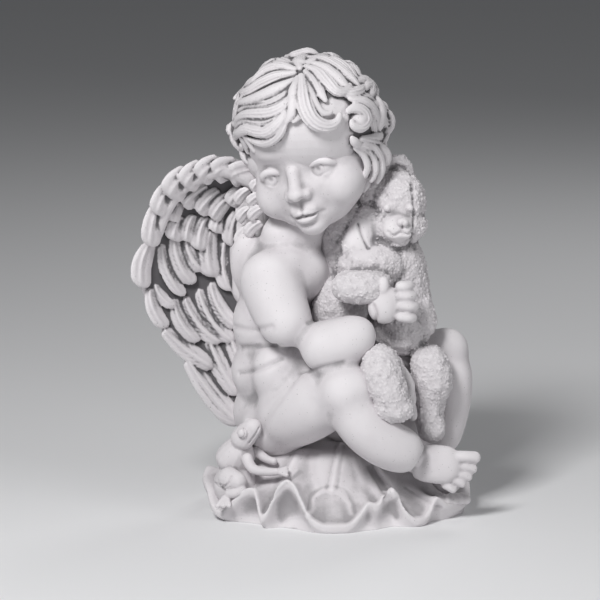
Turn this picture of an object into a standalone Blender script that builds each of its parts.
"""A seated winged child that hugs a plush toy, on a ruffled leaf pad with a frog: one casting.

The child, the toy, the frog and the pad are pressed together from rolls and balls of clay, as a
modeller would, and fused into one closed skin. +Z is up and the front of the figure looks along -Y.
The child and the toy are drawn in shares of the child's height, and the pad and the frog have sizes
of their own, in metres.
"""

import math

import bmesh
import bpy
import numpy as np
from mathutils import Euler, Matrix, Vector
from mathutils.bvhtree import BVHTree

# The child, from the seat to the top of the hair, and the seat's height over the ground.
CHILD_HEIGHT = 0.240
SEAT_HEIGHT = 0.040

# The leaf pad under the child: its reach and how much its edge ruffles.
PAD_WIDTH = 0.168
PAD_DEPTH = 0.142
PAD_EDGE_LIFT = 0.028
PAD_EDGE_THICKNESS = 0.0032
PAD_SOLE = 0.004  # how far the foot goes on below the ground before it is cut level

# The frog, from its rump to its snout.
FROG_LENGTH = 0.044

# The clay's grain: the skin of the broad masses, and that of the whole figure.
BROAD_GRAIN = 0.0018
FINE_GRAIN = 0.00125
TARGET_TRIANGLES = 9700

# The child is drawn 240 units tall, on a seat 40 units up.
DRAWN_HEIGHT = 240.0
DRAWN_SEAT = 40.0
DRAWN_FROG = 44.0


def clear_scene():
    for thing in list(bpy.data.objects):
        bpy.data.objects.remove(thing)


def figure_frame():
    """From the child's drawing units to metres, standing on the seat."""
    unit = CHILD_HEIGHT / DRAWN_HEIGHT
    stand = Matrix.Translation((0, 0, SEAT_HEIGHT))
    return stand @ Matrix.Scale(unit, 4) @ Matrix.Translation((0, 0, -DRAWN_SEAT))


def smooth_line(knots, shares):
    """Points at shares of the length of the smooth curve through the knots."""
    knots = np.asarray(knots, float)
    if len(knots) == 1:
        return np.repeat(knots, len(shares), axis=0)
    steps = np.linalg.norm(np.diff(knots[:, :3], axis=0), axis=1)
    at = np.concatenate([[0], np.cumsum(np.maximum(steps, 1e-9))])
    at /= at[-1]
    slopes = np.gradient(knots, at, axis=0) if len(knots) > 2 else np.repeat(knots[1:] - knots[:1], 2, axis=0)
    place = np.clip(np.searchsorted(at, shares, side="right") - 1, 0, len(at) - 2)
    gap = (at[place + 1] - at[place])[:, None]
    u = ((shares - at[place])[:, None]) / gap
    before, after = knots[place], knots[place + 1]
    return (
        (2 * u**3 - 3 * u**2 + 1) * before
        + (u**3 - 2 * u**2 + u) * gap * slopes[place]
        + (3 * u**2 - 2 * u**3) * after
        + (u**3 - u**2) * gap * slopes[place + 1]
    )


def unit_sphere(around, rings):
    """The points and faces of a sphere of radius 1, with its poles on Z."""
    ball = bmesh.new()
    bmesh.ops.create_uvsphere(ball, u_segments=around, v_segments=rings, radius=1)
    points = np.array([v.co for v in ball.verts])
    faces = [[v.index for v in f.verts] for f in ball.faces]
    ball.free()
    return points, faces


class Clay:
    """Balls and rolls of clay in one frame, to be pressed into one skin."""

    ball_shape = unit_sphere(20, 14)
    roll_shape = unit_sphere(12, 18)

    def __init__(self, frame):
        self.frame = np.array(frame)
        self.points = []
        self.faces = []
        self.count = 0

    def add(self, points, faces, frame=None):
        frame = self.frame if frame is None else self.frame @ np.array(frame)
        self.points.append(points @ frame[:3, :3].T + frame[:3, 3])
        self.faces += [[i + self.count for i in face] for face in faces]
        self.count += len(points)

    def ball(self, at, radii, turn=(0, 0, 0), frame=None):
        """An egg of clay with its half lengths, turned by angles in degrees."""
        points, faces = self.ball_shape
        spin = np.array(Euler([math.radians(a) for a in turn], "XYZ").to_matrix())
        self.add((points * radii) @ spin.T + at, faces, frame)

    def roll(self, path, radii, flat=1.0, face=(0, -1, 0), frame=None):
        """A roll along a smooth path through the points, with its half width at each, round at both ends.
        flat is its thickness as a share of its width, and face is where its flat side looks."""
        points, faces = self.roll_shape
        shares = (1 - points[:, 2]) / 2
        knots = np.column_stack([np.asarray(path, float), np.asarray(radii, float)])
        line = smooth_line(knots, shares)
        ahead = smooth_line(knots, np.clip(shares + 0.01, 0, 1))
        along = (ahead - smooth_line(knots, np.clip(shares - 0.01, 0, 1)))[:, :3]
        along /= np.linalg.norm(along, axis=1)[:, None]
        if np.ndim(face) == 2:
            out = smooth_line(face, shares)
        else:
            out = np.tile(np.asarray(face, float), (len(points), 1))
        out = out - (out * along).sum(1)[:, None] * along
        out /= np.linalg.norm(out, axis=1)[:, None]
        side = np.cross(along, out)
        steps = np.diff(smooth_line(knots, np.linspace(0, 1, 30))[:, :3], axis=0)
        length = np.linalg.norm(steps, axis=1).sum()
        from_end = np.minimum(shares * length / radii[0], (1 - shares) * length / radii[-1])
        close = np.sqrt(1 - (1 - np.clip(from_end, 0, 1)) ** 2)
        ring = points[:, :2] / np.maximum(np.hypot(points[:, 0], points[:, 1]), 1e-9)[:, None]
        width = (line[:, 3] * close)[:, None]
        self.add(line[:, :3] + side * ring[:, :1] * width + out * ring[:, 1:] * width * flat, faces, frame)

    def mesh(self, name):
        made = bpy.data.meshes.new(name)
        made.from_pydata(np.concatenate(self.points).tolist(), [], self.faces)
        return made


def outer_skin(mesh):
    """Deletes all but the largest shell of the mesh, such as the walls of pockets sealed inside."""
    skin = bmesh.new()
    skin.from_mesh(mesh)
    left = set(skin.verts)
    shells = []
    while left:
        found = {left.pop()}
        edge = list(found)
        while edge:
            near = {e.other_vert(v) for v in edge for e in v.link_edges} - found
            found |= near
            edge = list(near)
        left -= found
        shells.append(found)
    keep = max(shells, key=len)
    bmesh.ops.delete(skin, geom=[v for v in skin.verts if v not in keep], context="VERTS")
    skin.to_mesh(mesh)
    skin.free()


def pressed(name, meshes, grain, passes):
    """One closed skin around all the meshes, with its creases eased by smoothing passes."""
    lump = bmesh.new()
    for mesh in meshes:
        lump.from_mesh(mesh)
    joined = bpy.data.meshes.new(name)
    lump.to_mesh(joined)
    lump.free()
    thing = bpy.data.objects.new(name, joined)
    bpy.context.scene.collection.objects.link(thing)
    remesh = thing.modifiers.new("skin", "REMESH")
    remesh.mode = "VOXEL"
    remesh.voxel_size = grain
    ease = thing.modifiers.new("ease", "SMOOTH")
    ease.factor = 0.5
    ease.iterations = passes
    bpy.context.view_layer.update()
    made = bpy.data.meshes.new_from_object(thing.evaluated_get(bpy.context.evaluated_depsgraph_get()))
    bpy.data.objects.remove(thing)
    return made


def tangled(skin):
    """The corners of faces that cross another face or are folded back on their neighbour."""
    tree = BVHTree.FromBMesh(skin, epsilon=0.0)
    skin.faces.ensure_lookup_table()
    found = {v for e in skin.edges if e.calc_face_angle(0.0) > 2.9 for f in e.link_faces for v in f.verts}
    for one, other in tree.overlap(tree):
        corners, others = set(skin.faces[one].verts), set(skin.faces[other].verts)
        if not corners & others:
            found |= corners | others
    return found


def thinned(name, mesh, triangles):
    """The mesh in so many triangles, with the few that end up tangled eased apart."""
    thing = bpy.data.objects.new(name, mesh)
    bpy.context.scene.collection.objects.link(thing)
    thin = thing.modifiers.new("thin", "DECIMATE")
    thin.ratio = triangles / sum(len(p.vertices) - 2 for p in mesh.polygons)
    bpy.context.view_layer.update()
    made = bpy.data.meshes.new_from_object(thing.evaluated_get(bpy.context.evaluated_depsgraph_get()))
    bpy.data.objects.remove(thing)
    skin = bmesh.new()
    skin.from_mesh(made)
    bmesh.ops.triangulate(skin, faces=skin.faces[:])
    for _ in range(20):
        found = tangled(skin)
        if not found:
            break
        found |= {e.other_vert(v) for v in found for e in v.link_edges}
        eased = [v for v in found if v.co.z > FINE_GRAIN]
        axes = {"use_axis_x": True, "use_axis_y": True, "use_axis_z": True}
        bmesh.ops.smooth_vert(skin, verts=eased, factor=0.5, **axes)
    skin.to_mesh(made)
    skin.free()
    return made


# The torso faces 45 degrees to the front's right, and leans towards the toy.
TORSO_TURN = 45.0


def add_torso(clay):
    turn = (0, 0, TORSO_TURN)
    clay.ball((-29, 8, 58), (32, 28, 24), turn)
    clay.ball((-31, -13, 54), (23, 22, 20), turn)
    clay.ball((-9, 13, 54), (23, 22, 20), turn)
    clay.ball((-30, 3, 84), (31, 29, 24), turn)
    clay.ball((-19, -14, 92), (21, 20, 23), turn)
    clay.ball((-30, -24, 88), (18, 16, 20), turn)
    clay.ball((-31, 2, 113), (29, 27, 28), turn)
    clay.ball((-26, -1, 142), (30, 24, 24), turn)
    clay.ball((-14, -17, 146), (17, 11.5, 16), turn)
    clay.ball((4, 0, 146), (15, 13, 15), turn)
    clay.roll([(-24, -1, 152), (-18, -2, 172), (-12, -5, 192)], [23, 19, 16])
    clay.roll([(-37, -21, 156), (-26, -23, 152), (-15, -20, 148)], [14, 12, 12])
    clay.roll([(-36, -18, 160), (-22, -4, 169), (-3, 13, 162)], [16, 15, 15])
    # The shoulder blades, where the wings spring from the back.
    clay.ball((-50, -2, 150), (9, 12, 20), turn)
    clay.ball((-28, 21, 150), (12, 9, 20), turn)


def add_arms(clay):
    clay.roll([(-37, -15, 158), (-35, -27, 142), (-29, -37, 126), (-19, -44, 108)], [18, 19, 17.5, 15])
    clay.roll([(-18, -42, 106), (0, -47, 108), (13, -47, 113), (25, -43, 121)], [15, 16, 14.5, 9.5])
    clay.roll([(-3, 14, 160), (7, 22, 140), (24, 25, 114)], [17, 16, 13])
    clay.roll([(23, 24, 113), (38, 8, 99), (41, -18, 89)], [13, 13, 9])
    clay.ball((8, 8, 120), (18, 16, 26))


def add_legs(clay):
    clay.roll([(-36, -10, 57), (-14, -34, 69), (9, -54, 82)], [23, 22, 16.5])
    clay.ball((9, -55, 82), (17, 15.5, 16.5))
    clay.roll([(9, -55, 80), (19, -58, 62), (36, -54, 49), (54, -46, 42)], [15, 15.5, 15.5, 13])
    clay.roll([(-12, 16, 57), (20, 16, 76), (50, 9, 90), (73, 2, 98)], [22, 20, 17, 12.5])
    clay.ball((70, 2, 96), (14.5, 13, 14.5))
    clay.roll([(71, 1, 95), (73.5, -2, 79), (72, -4, 58), (68, -6, 34)], [13.5, 13, 12, 8.5])
    clay.ball((34, 8, 46), (40, 22, 32))
    clay.ball((52, 2, 66), (18, 12, 26))
    foot = [(44, -42, 37), (58, -43, 36), (70, -42, 35), (80, -41, 33.5)]
    clay.roll(foot, [11, 12.5, 13, 12.5], 0.52, (0.1, -1, 0.2))
    clay.roll([(64, -2, 30), (68, -10, 21), (75, -22, 15)], [11, 10.5, 9.5], 0.8, (0.2, -0.2, 1))


def add_hands(clay):
    clay.ball((32, -42, 131.5), (10, 6.5, 11.5), (0, 20, 0))
    for height, reach, drop in ((143, 48, 0), (138, 50, 1), (132, 51, 1.5), (125.5, 50, 2)):
        knuckle = (38, -44, height)
        bend, tip = (reach - 5, -45, height - drop / 2), (reach, -40, height - drop)
        clay.roll([knuckle, bend, tip], [3.4, 3.3, 2.9])
    clay.roll([(30, -41, 136), (31, -44, 146), (29.5, -41, 154)], [4, 3.5, 2.6])
    clay.ball((38, -22, 87), (7, 8, 11))
    clay.roll([(37, -30, 95), (43, -38, 90), (47, -40, 82), (45, -41, 74)], [3, 3.2, 3.2, 3.6])
    clay.roll([(40, -28, 86), (47, -37, 79), (48, -40, 70)], [3, 3.2, 3.2])
    clay.roll([(42, -26, 77), (48, -35, 69), (49, -39, 61)], [3, 3, 3])


def add_feet(clay):
    roots = [(72, -42, 40), (73, -42, 35), (72, -42, 31), (70, -42, 27.5), (66, -42, 24)]
    tips = [(89.5, -38, 38.5), (87, -39, 31.5), (84, -40, 26.5), (80, -41, 22.5), (74.5, -42, 19)]
    for order, (root, tip) in enumerate(zip(roots, tips)):
        size = 3.9 if order == 0 else 3.1 - 0.1 * order
        middle = [(a + b) / 2 for a, b in zip(root, tip)]
        clay.roll([root, (middle[0], middle[1] - 1.5, middle[2] + 0.6), tip], [size, size * 0.95, size])
    for order in range(5):
        root = (77 - 3.6 * order, -22 - 1.2 * order, 12)
        tip = (83 - 4.0 * order, -30 - 1.6 * order, 10)
        clay.roll([root, tip], [3.2, 3.0 - 0.15 * order])


# The head looks over its right shoulder, bowed a little and leaning.
HEAD_AT = (-12, -12, 222)
HEAD_TURN = (9, -15, -22)


def head_frame():
    pitch, roll, yaw = (math.radians(a) for a in HEAD_TURN)
    spin = Matrix.Rotation(yaw, 4, "Z") @ Matrix.Rotation(roll, 4, "Y") @ Matrix.Rotation(pitch, 4, "X")
    return Matrix.Translation(HEAD_AT) @ spin


def add_skull(clay, frame):
    clay.ball((0, 4, 10), (38, 43, 39), frame=frame)
    clay.ball((0, -8, -12), (35, 31, 34), frame=frame)
    clay.ball((0, -15, 14), (30.5, 26, 25), frame=frame)
    for side in (-1, 1):
        clay.ball((side * 18.5, -18, -21), (16.5, 17, 16), frame=frame)
        clay.ball((side * 37, 4, -8), (4, 8, 11), frame=frame)
    clay.ball((0, -14, -32), (24, 22, 15), frame=frame)
    clay.ball((0, -28, -27), (14, 12, 12), frame=frame)
    clay.ball((0, -29, -40), (10, 9, 8), frame=frame)


# Of the face, seen from the head's own front: the eye beside the middle line and its height, how far
# the socket sinks, and the heights of the nose's tip and of the line between the lips.
EYE_AT = (15.5, -8.0)
EYE_RADIUS = 9.5
SOCKET_SINKS = 5.6
NOSE_TIP_AT = -19.5
LIPS_AT = -32.5


def with_sockets(mesh, frame):
    """Sinks the sockets of the eyes into the mesh, and raises the brow above them."""
    points = np.empty(len(mesh.vertices) * 3)
    mesh.vertices.foreach_get("co", points)
    away, back = np.array(frame.inverted()), np.array(frame)
    points = points.reshape(-1, 3) @ away[:3, :3].T + away[:3, 3]
    across, up = EYE_AT
    for side in (-1, 1):
        for at, radii, sinks in (
            ((side * (across - 1), -35, up + 1), (9.5, 14, 7), SOCKET_SINKS),
            ((side * (across - 1.5), -40, up + 13.5), (12, 14, 4.5), -1.5),
        ):
            near = np.exp(-(((points - at) / radii) ** 2).sum(1))
            points[:, 1] += near * sinks
    mesh.vertices.foreach_set("co", (points @ back[:3, :3].T + back[:3, 3]).ravel())
    mesh.update()


def face_finder(mesh, frame):
    """What finds the point of the face at a place seen from its own front, at a lift off the skin."""
    head = bmesh.new()
    head.from_mesh(mesh)
    head.transform(frame.inverted())
    tree = BVHTree.FromBMesh(head)
    head.free()

    def on_face(x, z, lift=0.0):
        hit = tree.ray_cast(Vector((x, -90, z)), Vector((0, 1, 0)))[0]
        return (x, hit[1] - lift, z)

    return on_face


def add_face(clay, frame, on_face):
    tip = on_face(0, NOSE_TIP_AT, 3.0)
    clay.roll([on_face(0, -2, -2.2), on_face(0, -11, -0.6), tip], [4.6, 4.4, 4.6], frame=frame)
    clay.ball(tip, (5.2, 4.4, 4.3), frame=frame)
    across, up = EYE_AT
    for side in (-1, 1):
        clay.ball(on_face(side * 5.2, NOSE_TIP_AT - 1.1, 0.9), (3.4, 4.2, 3.2), frame=frame)
        x, y, z = on_face(side * across, up, 3.8 - EYE_RADIUS)
        clay.ball((x, y, z), (EYE_RADIUS,) * 3, frame=frame)
        for lid, radii in (
            (
                ((-8.3, -1.0, -0.6), (-4.2, 3.0, 0.5), (0.8, 4.5, 0.8), (5, 3.0, 0.5), (8.6, -0.8, -0.4)),
                (1.4, 2.3, 2.8, 2.6, 2.0),
            ),
            (((-8.0, -1.8, -0.6), (-3, -4.4, 0.1), (3, -4.6, 0.1), (8.0, -1.4, -0.5)), (1.1, 1.6, 1.6, 1.1)),
        ):
            path = []
            for beside, above, lift in lid:
                reach = EYE_RADIUS + lift
                path.append((x + side * beside, y - math.sqrt(reach**2 - beside**2 - above**2), z + above))
            clay.roll(path, radii, frame=frame)
        lip = [(9.4, 0.2, -1.4), (5.2, 1.7, -0.6), (1.9, 2.4, -0.2), (0.0, 2.1, -0.3)]
        path = [on_face(side * x, LIPS_AT + z, lift) for x, z, lift in lip]
        clay.roll(path, [1.2, 1.9, 2.2, 2.1], frame=frame)
    lip = [(-8.2, -1.2, -1.4), (-4.0, -2.8, -0.6), (0, -3.3, -0.3), (4.0, -2.8, -0.6), (8.2, -1.2, -1.4)]
    clay.roll([on_face(x, LIPS_AT + z, lift) for x, z, lift in lip], [1.2, 2.1, 2.4, 2.1, 1.2], frame=frame)


# The hair and the wing are drawn on a sheet in the front view, seen from a raised eye: its unit as a
# share of the drawn height, its middle line and its ground line.
SHEET_UNIT = 0.6
SHEET_MIDDLE = 330
SHEET_GROUND = 508
SHEET_TILT = math.radians(10)

# The ball that the middles of the locks lie on: its place on the sheet, its depth and half sizes.
HAIR_ON_SHEET = (308, 123)
HAIR_DEPTH = -12
HAIR_RADII = (43.5, 50, 37.5)


def from_sheet(across, down, depth):
    """The point at a place on the sheet, at a depth along Y."""
    rise = (SHEET_GROUND - down) * SHEET_UNIT - math.sin(SHEET_TILT) * depth
    return ((across - SHEET_MIDDLE) * SHEET_UNIT, depth, rise / math.cos(SHEET_TILT))


def hair_frame():
    """The frame of the hair's ball: its Y looks away from the raised eye."""
    return Matrix.Translation(from_sheet(*HAIR_ON_SHEET, HAIR_DEPTH)) @ Matrix.Rotation(-SHEET_TILT, 4, "X")


def on_hair(across, down, lift=0.0, behind=False):
    """The point over the hair's ball at a place on the sheet, at a lift from the ball."""
    across, up = (across - HAIR_ON_SHEET[0]) * SHEET_UNIT, (HAIR_ON_SHEET[1] - down) * SHEET_UNIT
    wide, deep, tall = (r + lift for r in HAIR_RADII)
    depth = deep * math.sqrt(max(1 - (across / wide) ** 2 - (up / tall) ** 2, 0.0))
    return (across, depth if behind else -depth, up)


def add_lock(clay, seen, width, lift=1.0, behind=False):
    """A lock of hair through places on the sheet, with its half width. It sinks in at both ends."""
    shares = np.linspace(0, 1, len(seen))
    swell = np.sin(np.pi * (0.15 + 0.75 * shares))
    middle = np.array([on_hair(*at, (1.4 * lift - 0.4) * rise, behind) for at, rise in zip(seen, swell)])
    out = middle / np.array(HAIR_RADII) ** 2
    out /= np.linalg.norm(out, axis=1)[:, None]
    taper = (1 - 0.5 * np.clip((shares - 0.5) / 0.5, 0, 1) ** 2) * (0.5 + 0.5 * np.clip(shares / 0.3, 0, 1))
    clay.roll(middle, list(width * (0.36 + 0.44 * swell) * taper), 1.1, out)


def add_curl(clay, at, radius, start, sweep, width, behind=False):
    """A lock that winds round a place on the sheet from an angle, and tightens as it goes."""
    seen = []
    for step in range(8):
        share = step / 7
        angle = math.radians(start + sweep * share)
        reach = radius * (1 - 0.6 * share)
        seen.append((at[0] + reach * math.cos(angle), at[1] - reach * math.sin(angle)))
    add_lock(clay, seen, width, 1.5, behind)
    fill = radius * SHEET_UNIT * 0.9
    clay.ball(on_hair(*at, -3.0, behind), (fill, fill, fill))


# The locks in front, from the parting to their tips, each with its half width and lift.
FRONT_LOCKS = (
    (((283, 67), (290, 62), (300, 59), (310, 56), (320, 60)), 4.6, 0.0),
    (((296, 73), (285, 69), (272, 68), (264, 75), (262, 84)), 4.6, 0.0),
    (((303, 70), (315, 67), (327, 63), (337, 66), (343, 73)), 4.6, 0.0),
    (((297, 76), (279, 73), (265, 78), (256, 85), (246, 89)), 4.2, 1.2),
    (((297, 79), (279, 82), (263, 89), (249, 96), (240, 97), (234, 102)), 4.0, 0.4),
    (((296, 85), (282, 93), (268, 100), (253, 105), (243, 106), (236, 109)), 3.6, 1.4),
    (((295, 90), (286, 101), (274, 109), (260, 112), (246, 113), (236, 118)), 3.6, 0.3),
    (((294, 96), (287, 109), (276, 117), (263, 119), (249, 119), (240, 121), (235, 130)), 3.6, 1.5),
    (((293, 103), (283, 119), (272, 127), (258, 128), (248, 126), (239, 129), (236, 137)), 3.5, 0.6),
    (((291, 108), (279, 128), (270, 136), (257, 136), (245, 133), (238, 140), (241, 153)), 3.5, 1.6),
    (((289, 118), (276, 142), (266, 147), (257, 146), (247, 141)), 3.0, 0.6),
    (((298, 82), (294, 98), (293, 112), (290, 123), (284, 131)), 3.0, 1.6),
    (((301, 84), (299, 100), (301, 114), (298, 124), (292, 129)), 2.6, 0.8),
    (
        ((301, 80), (302, 97), (305, 114), (313, 127), (324, 132), (335, 129), (339, 119), (335, 109), (328, 106)),
        4.4,
        1.9,
    ),
    (((303, 82), (309, 100), (316, 114), (324, 120), (332, 117)), 2.8, 0.8),
    (((304, 76), (313, 88), (320, 100), (326, 109)), 3.2, 0.0),
    (((304, 71), (318, 79), (328, 90), (337, 98), (346, 96), (349, 89)), 3.8, 1.4),
    (((306, 67), (323, 73), (337, 84), (347, 95), (354, 99)), 3.6, 0.2),
    (((305, 62), (323, 66), (338, 74), (351, 84), (358, 92)), 4.0, 1.4),
    (((316, 63), (332, 66), (345, 74), (354, 84), (362, 89)), 4.2, 0.4),
    (((337, 66), (348, 69), (354, 77), (359, 86)), 4.2, 0.8),
    (((354, 88), (361, 85), (367, 88), (369, 96), (367, 104)), 4.2, 0.8),
    (((350, 101), (358, 103), (368, 104), (376, 108)), 3.4, 0.2),
    (((364, 107), (377, 112), (388, 120), (389, 129), (384, 138)), 4.2, 0.8),
    (((369, 116), (380, 121), (385, 131), (378, 138), (367, 141)), 3.6, 1.4),
    (((355, 149), (367, 151), (378, 150), (386, 145)), 4.2, 1.0),
    (((346, 104), (356, 106), (367, 111), (374, 119), (375, 131)), 3.6, 1.4),
    (((375, 103), (382, 110), (385, 118)), 3.8, 0.0),
    (((358, 143), (371, 144), (381, 142), (388, 134)), 4.2, 0.4),
    (((345, 139), (351, 146), (361, 149)), 3.0, 0.8),
    (((364, 90), (372, 96), (372, 106)), 3.4, 0.6),
    (((340, 100), (349, 100), (358, 96), (363, 88)), 3.4, 0.8),
    (((300, 76), (298, 70), (302, 64), (310, 60)), 4.0, 0.0),
    (((356, 153), (367, 157), (376, 157), (382, 153)), 3.6, 0.4),
    (((360, 160), (369, 165), (372, 173), (367, 182)), 3.0, 0.8),
    (((371, 160), (377, 165), (377, 174), (371, 182)), 3.2, 0.2),
    (((362, 176), (366, 185), (362, 194)), 2.6, 0.4),
    (((236, 129), (235, 138), (239, 147), (244, 155)), 3.4, 0.4),
    (((242, 146), (244, 155), (249, 163), (255, 168)), 3.0, 0.6),
)

# The curls in front: their middles on the sheet, reach, first angle, sweep and half width.
FRONT_CURLS = (
    ((355, 125), 12.5, 150, -340, 3.8),
    ((370, 94), 7, 200, -300, 3.0),
    ((235, 132), 6, 60, 300, 2.8),
)

# The rows of curls behind: how high on the sheet, how far to either side, and how many.
BACK_CURLS = ((74, 20, 2), (92, 46, 4), (116, 58, 5), (142, 54, 5), (166, 36, 4))


def add_hair(clay):
    clay.ball((0, 1, 0.5), (42, 47.5, 36.2))
    clay.ball((0, 8, -20), (38, 36, 24))
    clay.ball(on_hair(300, 74, -3.5), (6, 6, 6))
    clay.ball(on_hair(370, 118, -4), (9, 8, 12))
    for seen, width, lift in FRONT_LOCKS:
        add_lock(clay, seen, width, lift)
    for at, radius, start, sweep, width in FRONT_CURLS:
        add_curl(clay, at, radius, start, sweep, width)
    for row, (down, reach, count) in enumerate(BACK_CURLS):
        for order in range(count):
            across = HAIR_ON_SHEET[0] + reach * (2 * order / (count - 1) - 1)
            sweep = 330 if (row + order) % 2 else -330
            add_curl(clay, (across, down), 15, 90 + 50 * order, sweep, 4.2, True)


# The right wing is a shallow bowl, hollow to the front and deepest beside the spine.
WING_BOWL_AT = (-58, 128)
WING_BOWL_RADII = (62, 84)
WING_BOWL_DEPTH = 30.0
WING_RIM_Y = -8.0
WING_PLATE = 3.4
SPINE_AT = (-50, 17)

# The outline of the wing's plate on the sheet, and the place inside that it is drawn around.
WING_HUB = (212, 272)
WING_OUTLINE = (
    (256, 182), (240, 170), (222, 163), (201, 168), (182, 178), (164, 196), (152, 215), (146, 240),
    (142, 262), (140, 286), (150, 304), (159, 325), (172, 346), (190, 367), (213, 391), (228, 409),
    (239, 428), (252, 415), (256, 350), (258, 272), (258, 215),
)  # fmt: skip

# The feathers on the sheet, row under row from the rim: root, tip and half width. With each row,
# how far its tips stand off the plate and how much its feathers bow.
WING_ROWS = (
    (10.0, 0.06, (
        ((256, 171), (230, 179), 8.5), ((239, 165), (214, 177), 8.5), ((222, 161), (200, 181), 8.5),
        ((205, 165), (186, 189), 8.5), ((191, 171), (171, 199), 9.5), ((175, 183), (159, 216), 9.5),
        ((162, 202), (149, 247), 10),
    )),
    (6.5, 0.06, (
        ((208, 186), (184, 207), 6.5), ((220, 190), (199, 214), 6.5), ((232, 194), (212, 219), 6.5),
        ((243, 188), (229, 205), 6), ((251, 200), (242, 219), 6.5), ((180, 202), (171, 221), 6.5),
    )),
    (5.5, 0.08, (
        ((182, 216), (174, 241), 7), ((194, 214), (187, 242), 6), ((207, 216), (199, 250), 7),
        ((222, 212), (216, 233), 5.5), ((239, 210), (231, 246), 7), ((250, 218), (243, 252), 6.5),
    )),
    (4.5, 0.10, (
        ((150, 243), (140, 288), 10), ((162, 244), (184, 296), 6.5), ((174, 236), (193, 284), 6.5),
        ((186, 238), (202, 271), 6), ((211, 230), (213, 277), 8.5), ((225, 240), (230, 291), 7),
        ((238, 246), (237, 288), 6),
    )),
    (3.5, 0.10, (
        ((155, 284), (174, 307), 5.5), ((139, 286), (161, 328), 9), ((173, 298), (198, 342), 6),
        ((184, 296), (220, 343), 6.5), ((198, 288), (232, 342), 6.5), ((210, 282), (236, 328), 6.5),
    )),
    (3.0, 0.04, (
        ((163, 328), (212, 368), 9), ((187, 358), (239, 426), 8.5), ((208, 338), (238, 396), 8),
        ((228, 330), (246, 372), 7),
    )),
)  # fmt: skip


# The short curly feathers at the root: root, tip, half width, and how far they stand off the plate.
ROOT_FEATHERS = (
    ((262, 196), (248, 206), 5.5, 20), ((250, 190), (236, 204), 5.5, 15), ((264, 208), (249, 220), 5.5, 22),
    ((252, 208), (238, 222), 5.5, 17), ((262, 222), (246, 236), 6, 22), ((250, 226), (238, 246), 6, 17),
    ((262, 182), (252, 192), 5.5, 17),
)  # fmt: skip


def bowl_y(x, z):
    """How deep the bowl of the wing is at a place seen from the front."""
    up = (z - WING_BOWL_AT[1]) / WING_BOWL_RADII[1]
    away = ((x - WING_BOWL_AT[0]) / WING_BOWL_RADII[0]) ** 2 + up * up * (1.0 if up > 0 else 0.1)
    return WING_RIM_Y + WING_BOWL_DEPTH * (1 - min(away, 1.2))


def on_bowl(across, down, stand=0.0):
    """The point on the wing's bowl at a place on the sheet, standing off it to the front."""
    depth = 0.0
    for _ in range(4):
        x, _, z = from_sheet(across, down, depth)
        depth = bowl_y(x, z)
    return from_sheet(across, down, depth - stand)


def add_feather(clay, root, tip, half_width, stand, bow, frame=None, base=0.0):
    """A blade from root to tip that bows outwards, and stands off the plate, the more so at its tip."""
    (x0, y0), (x1, y1) = root, tip
    sag = (bow * (y0 - y1), bow * (x1 - x0))
    path = []
    for share, rise in ((0.0, 0.1), (0.35, 0.55), (0.7, 0.9), (1.0, 1.0)):
        swell = 4 * share * (1 - share)
        across = x0 + (x1 - x0) * share + sag[0] * swell
        down = y0 + (y1 - y0) * share + sag[1] * swell
        path.append(on_bowl(across, down, base + stand * rise))
    wide = half_width * SHEET_UNIT
    clay.roll(path, [wide * 0.75, wide * 1.05, wide * 1.15, wide * 0.95], 0.5, (0.15, -1, 0.1), frame)


def add_plate(clay, frame=None):
    """The wing's plate: a ball pressed flat into the outline, along the bowl."""
    points, faces = unit_sphere(72, 24)
    bearing = np.arctan2(points[:, 0], -points[:, 1])
    spots = np.array(WING_OUTLINE, float) - WING_HUB
    angles, reaches = np.arctan2(spots[:, 0], spots[:, 1]), np.hypot(spots[:, 0], spots[:, 1])
    order = np.argsort(angles)
    reach = np.interp(bearing, angles[order], reaches[order], period=2 * math.pi)
    share = np.sin(np.arccos(np.clip(points[:, 2], -1, 1))) ** 0.6
    made = []
    for angle, far, side in zip(bearing, reach * share, points[:, 2]):
        thick = WING_PLATE / 2 * math.copysign(abs(side) ** 0.4, side)
        made.append(on_bowl(WING_HUB[0] + far * math.sin(angle), WING_HUB[1] + far * math.cos(angle), thick))
    clay.add(np.array(made), faces, frame)


def add_wing(clay, frame=None):
    add_plate(clay, frame)
    for stand, bow, feathers in WING_ROWS:
        for root, tip, half_width in feathers:
            add_feather(clay, root, tip, half_width, stand, bow, frame)
            if stand < 6:
                add_feather(clay, root, tip, half_width, -stand, bow, frame)
    for root, tip, half_width, base in ROOT_FEATHERS:
        add_feather(clay, root, tip, half_width, 3.0, 0.1, frame, base - 2)
    rim = [(262, 188), (243, 174), (222, 168), (202, 174), (184, 185), (169, 202), (160, 222), (155, 240)]
    clay.roll([on_bowl(*at, 4) for at in rim], [6, 6.5, 6.5, 6, 5.5, 5.5, 5, 4], 1.0, frame=frame)
    clay.roll([(-50, 14, 190), (-48, 15, 160), (-50, 16, 120)], [10, 14, 10], 0.8, (-1, -1, 0), frame)


def other_side():
    """The mirror across the upright plane through the spine that the torso faces along."""
    x, y = SPINE_AT
    swap = Matrix(((0, -1, 0, 0), (-1, 0, 0, 0), (0, 0, 1, 0), (0, 0, 0, 1)))
    return Matrix.Translation((x, y, 0)) @ swap @ Matrix.Translation((-x, -y, 0))


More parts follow.
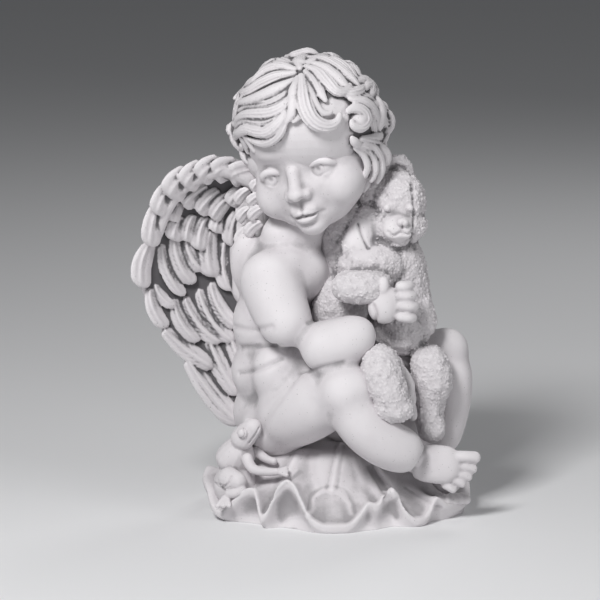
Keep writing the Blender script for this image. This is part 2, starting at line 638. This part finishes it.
def add_toy(clay):
    clay.ball((41, -13, 188), (16, 15, 19))
    clay.ball((39, -15, 175), (18.5, 15, 13))
    clay.ball((40, -26, 175), (9.5, 8.5, 8.0))
    for x in (36.2, 43.8):
        clay.ball((x, -30, 174), (5.4, 4.6, 5.4))
    clay.ball((40, -24, 168), (6.5, 6, 4.5))
    ear = [(33.5, -5, 207), (39.5, -5, 209.5), (44, -4, 200), (45.5, -3, 184), (46, -3, 165), (44.5, -4, 149)]
    clay.roll(ear, [7, 7.5, 8.5, 9, 8.5, 5], 0.6, (0.5, -0.8, 0))
    ear = [(25, -17, 188), (21, -21, 176), (16, -25, 165), (13, -27, 154)]
    clay.roll(ear, [6, 8, 9, 7], 0.6, (0, -1, 0.2))
    clay.ball((16, -8, 160), (22, 16, 30))
    clay.ball((24, -22, 152), (20, 13, 14))
    clay.ball((28, -6, 192), (14, 13, 20))
    clay.ball((6, -14, 124), (17, 14, 22))
    clay.roll([(38, -10, 168), (41, -8, 140), (43, -12, 115), (44, -22, 98)], [15, 18, 18, 15])
    clay.roll([(44, -10, 146), (51, -14, 128), (57.5, -19, 108)], [9.5, 9.5, 9])
    clay.roll([(36, -32, 141), (20, -40, 141.5), (1, -35, 142)], [9, 10, 9.5])
    clay.roll([(29, -46, 108), (30, -55, 94), (35, -60, 81), (40, -58, 71)], [9, 12.5, 11, 9])
    clay.ball((37, -62, 73), (12.5, 9, 8.5))
    clay.roll([(55, -20, 103), (61, -26, 84), (59, -26, 67), (61.5, -31, 46)], [10.5, 12, 9, 8.5])
    clay.ball((42.5, -34.5, 179.5), (3.6, 2.8, 2.7))
    for x in (33.5, 47):
        clay.ball((x, -27.2, 187), (2.7, 2.6, 2.8))


def frog_frame():
    """The frog sits on the pad's left, a share of the pad's reach out."""
    unit = FROG_LENGTH / DRAWN_FROG
    at = (-0.64 * PAD_WIDTH / 2, -0.46 * PAD_DEPTH / 2, 0.64 * SEAT_HEIGHT)
    return Matrix.Translation(at) @ Matrix.Scale(unit, 4)


def add_frog(clay, frame):
    clay.roll([(-8, 10, 0), (-4, 8, 8), (0, 5, 15), (4, 2, 21)], [9, 11.5, 10, 6], frame=frame)
    clay.roll([(-2, 2, 18), (3.5, -1, 26), (11.5, -3, 34.5)], [7.5, 7, 4.6], 0.9, frame=frame)
    clay.ball((1.6, -7.0, 28.2), (3.0, 3.0, 3.0), frame=frame)
    clay.ball((5, 6, 32), (3.0, 3.0, 3.0), frame=frame)
    clay.roll([(3, -4, 15), (8, -9, 7), (16, -10, 5.5), (24, -10, 5.5)], [3.8, 3.1, 2.6, 2.2], frame=frame)
    clay.roll([(8, 8, 16), (16, 4, 10), (22, 0, 9)], [3.4, 2.6, 2.2], frame=frame)
    for spread in (-1, 0, 1):
        clay.roll([(22, -10, 5.5), (29, -10.5 + 2 * spread, 5.5 + 2 * spread)], [1.6, 1.5], frame=frame)
        clay.roll([(-8, -11, -9), (-10 + 4 * spread, -16.5, -15)], [2.6, 2.0], frame=frame)
    clay.roll([(-10, 0, 1), (-4, -8, 0), (4, -10, -2)], [7, 6.5, 4.5], frame=frame)
    clay.roll([(4, -11, -4), (-2, -12, -6.5), (-9, -10, -8)], [3.2, 3.4, 2.8], frame=frame)
    clay.ball((-3, 6, -6), (13, 14, 14), frame=frame)


# The pad's edge round the figure: the bearing from the front in degrees, the reach as a share of
# the pad's, the lift as a share of the edge's greatest, and the reach of the foot below it.
PAD_RUFFLES = (
    (-98, 0.90, 0.70, 0.85), (-84, 0.92, 0.60, 0.84), (-70, 0.94, 0.48, 0.86), (-61, 0.97, 0.22, 0.86),
    (-54, 0.97, 0.10, 0.87), (-48, 0.95, 0.36, 0.86), (-42.5, 0.92, 0.62, 0.84), (-36.5, 0.91, 0.66, 0.84),
    (-33, 0.95, 0.42, 0.88), (-30, 0.99, 0.17, 0.90), (-27.5, 0.97, 0.30, 0.89), (-24.5, 0.93, 0.74, 0.86),
    (-20.5, 0.91, 0.94, 0.87), (-16, 0.93, 0.84, 0.88), (-12.5, 0.96, 0.56, 0.91), (-8, 1.0, 0.20, 0.95),
    (0, 1.01, 0.02, 0.98), (8, 1.0, 0.08, 0.97), (13, 0.97, 0.30, 0.95), (16.5, 0.94, 0.47, 0.94),
    (21, 0.94, 0.44, 0.93), (25.5, 0.91, 0.64, 0.90), (31, 0.91, 0.62, 0.88), (34.5, 0.96, 0.22, 0.90),
    (40, 0.99, 0.03, 0.94), (46, 0.98, 0.14, 0.94), (51.5, 0.97, 0.42, 0.92), (58, 0.99, 0.24, 0.94),
    (68, 1.01, 0.18, 0.96), (80, 1.02, 0.26, 0.98), (98, 0.99, 0.60, 0.95), (116, 0.98, 0.18, 0.94),
    (134, 0.92, 0.72, 0.90), (154, 1.00, 0.18, 0.96), (174, 0.94, 0.66, 0.92), (195, 1.00, 0.20, 0.96),
    (216, 0.93, 0.70, 0.90), (238, 0.99, 0.22, 0.94),
)  # fmt: skip
PAD_CROWN = 0.40  # the share of the reach over which the pad's top stays level
PAD_WAVE = 0.60  # the share of the reach from which the edge's ruffles show
PAD_MEAN_LIFT = 0.17  # how far the slope ends above the ground, as a share of the greatest lift


def ruffle(bearings):
    """The reach, the lift and the foot of the pad's edge at bearings in degrees."""
    table = np.array(PAD_RUFFLES)
    turns = np.concatenate([table - (360, 0, 0, 0), table, table + (360, 0, 0, 0)])
    place = np.searchsorted(turns[:, 0], bearings) - 1
    a, b, c, d = (turns[place + k] for k in (-1, 0, 1, 2))
    u = ((bearings - b[:, 0]) / (c[:, 0] - b[:, 0]))[:, None]
    before, after = (c - a) / (c[:, :1] - a[:, :1]), (d - b) / (d[:, :1] - b[:, :1])
    gap = c[:, :1] - b[:, :1]
    made = (2 * u**3 - 3 * u**2 + 1) * b + (u**3 - 2 * u**2 + u) * gap * before
    made += (3 * u**2 - 2 * u**3) * c + (u**3 - u**2) * gap * after
    return made[:, 1], made[:, 2], made[:, 3]


def add_pad(clay):
    """The leaf, from a ball: its top half is the leaf's face, its bottom half the skirt and the foot."""
    points, faces = unit_sphere(216, 60)
    bearing = np.degrees(np.arctan2(points[:, 0], -points[:, 1])) % 360
    reach, lift, foot = ruffle(np.where(bearing > 250, bearing - 360, bearing))
    lip = np.maximum(lift, 0.05) * PAD_EDGE_LIFT + PAD_EDGE_THICKNESS
    share = np.arccos(np.clip(points[:, 2], -1, 1)) / math.pi
    out = np.clip(share / 0.6, 0, 1)
    fall = np.clip((out - PAD_CROWN) / (1 - PAD_CROWN), 0, 1)
    keep = 0.5 + 0.5 * np.cos(math.pi * fall**0.9)
    slope = PAD_MEAN_LIFT * PAD_EDGE_LIFT + PAD_EDGE_THICKNESS
    wave = np.clip((out - PAD_WAVE) / (1 - PAD_WAVE), 0, 1)
    top = slope * (1 - keep) + SEAT_HEIGHT * 1.03 * keep + (lip - slope) * wave**2 * (3 - 2 * wave)
    radius = reach * out
    under = share > 0.605
    down = np.clip((share - 0.605) / 0.195, 0, 1)
    tuck = 0.06 * np.sin(math.pi * down) * (lip / PAD_EDGE_LIFT)
    wall = reach + (foot - reach) * down - tuck
    radius = np.where(under, wall, radius)
    top = np.where(under, (lip - PAD_EDGE_THICKNESS) * (1 - down) - PAD_SOLE * down, top)
    inward = np.clip((share - 0.8) / 0.2, 0, 1)
    radius = radius * (1 - inward)
    flat = points[:, :2] / np.maximum(np.hypot(points[:, 0], points[:, 1]), 1e-9)[:, None]
    made = np.column_stack([flat[:, 0] * radius * PAD_WIDTH / 2, flat[:, 1] * radius * PAD_DEPTH / 2, top])
    clay.add(made, faces)


def broad_masses():
    """The child's body and skull, eased so that limb runs into limb."""
    clay = Clay(figure_frame())
    add_torso(clay)
    add_arms(clay)
    add_legs(clay)
    add_skull(clay, head_frame())
    mesh = pressed("broad", [clay.mesh("broad")], BROAD_GRAIN, 32)
    with_sockets(mesh, figure_frame() @ head_frame())
    return mesh


def fine_masses(broad):
    """All that is carved on or laid against the body, in its own rolls."""
    clay = Clay(figure_frame())
    add_hands(clay)
    add_feet(clay)
    add_face(clay, head_frame(), face_finder(broad, figure_frame() @ head_frame()))
    add_wing(clay)
    add_toy(clay)
    hair = Clay(figure_frame() @ hair_frame())
    add_hair(hair)
    return [clay.mesh("fine"), hair.mesh("hair")]


def left_wing():
    """The left wing is the right one across the spine, turned right side out again."""
    clay = Clay(figure_frame())
    add_wing(clay, other_side())
    mesh = clay.mesh("left_wing")
    mesh.flip_normals()
    return mesh


def ground_masses():
    clay = Clay(Matrix.Identity(4))
    add_pad(clay)
    add_frog(clay, frog_frame())
    return clay.mesh("ground")


def cast_stone():
    material = bpy.data.materials.new("cast_stone")
    material.use_nodes = True
    shader = material.node_tree.nodes["Principled BSDF"]
    shader.inputs["Base Color"].default_value = (0.62, 0.60, 0.61, 1)
    shader.inputs["Roughness"].default_value = 0.62
    shader.inputs["Metallic"].default_value = 0.0
    return material


def stand_flat(mesh):
    """Cuts the figure off level at the ground and closes its underside with one flat face."""
    cut = bmesh.new()
    cut.from_mesh(mesh)
    parts = cut.verts[:] + cut.edges[:] + cut.faces[:]
    made = bmesh.ops.bisect_plane(cut, geom=parts, plane_co=(0, 0, 0), plane_no=(0, 0, 1), clear_inner=True)
    rim = [e for e in made["geom_cut"] if isinstance(e, bmesh.types.BMEdge)]
    bmesh.ops.contextual_create(cut, geom=rim)
    bmesh.ops.recalc_face_normals(cut, faces=cut.faces[:])
    cut.to_mesh(mesh)
    cut.free()


def main():
    clear_scene()
    broad = broad_masses()
    meshes = [broad, *fine_masses(broad), left_wing(), ground_masses()]
    mesh = pressed("angel_figurine", meshes, FINE_GRAIN, 2)
    outer_skin(mesh)
    stand_flat(mesh)
    mesh = thinned("angel_figurine", mesh, TARGET_TRIANGLES)
    figure = bpy.data.objects.new("angel_figurine", mesh)
    collection = bpy.data.collections.new("angel_figurine")
    bpy.context.scene.collection.children.link(collection)
    collection.objects.link(figure)
    mesh.shade_smooth()
    mesh.set_sharp_from_angle(angle=math.radians(50))
    mesh.materials.clear()
    mesh.materials.append(cast_stone())


main()
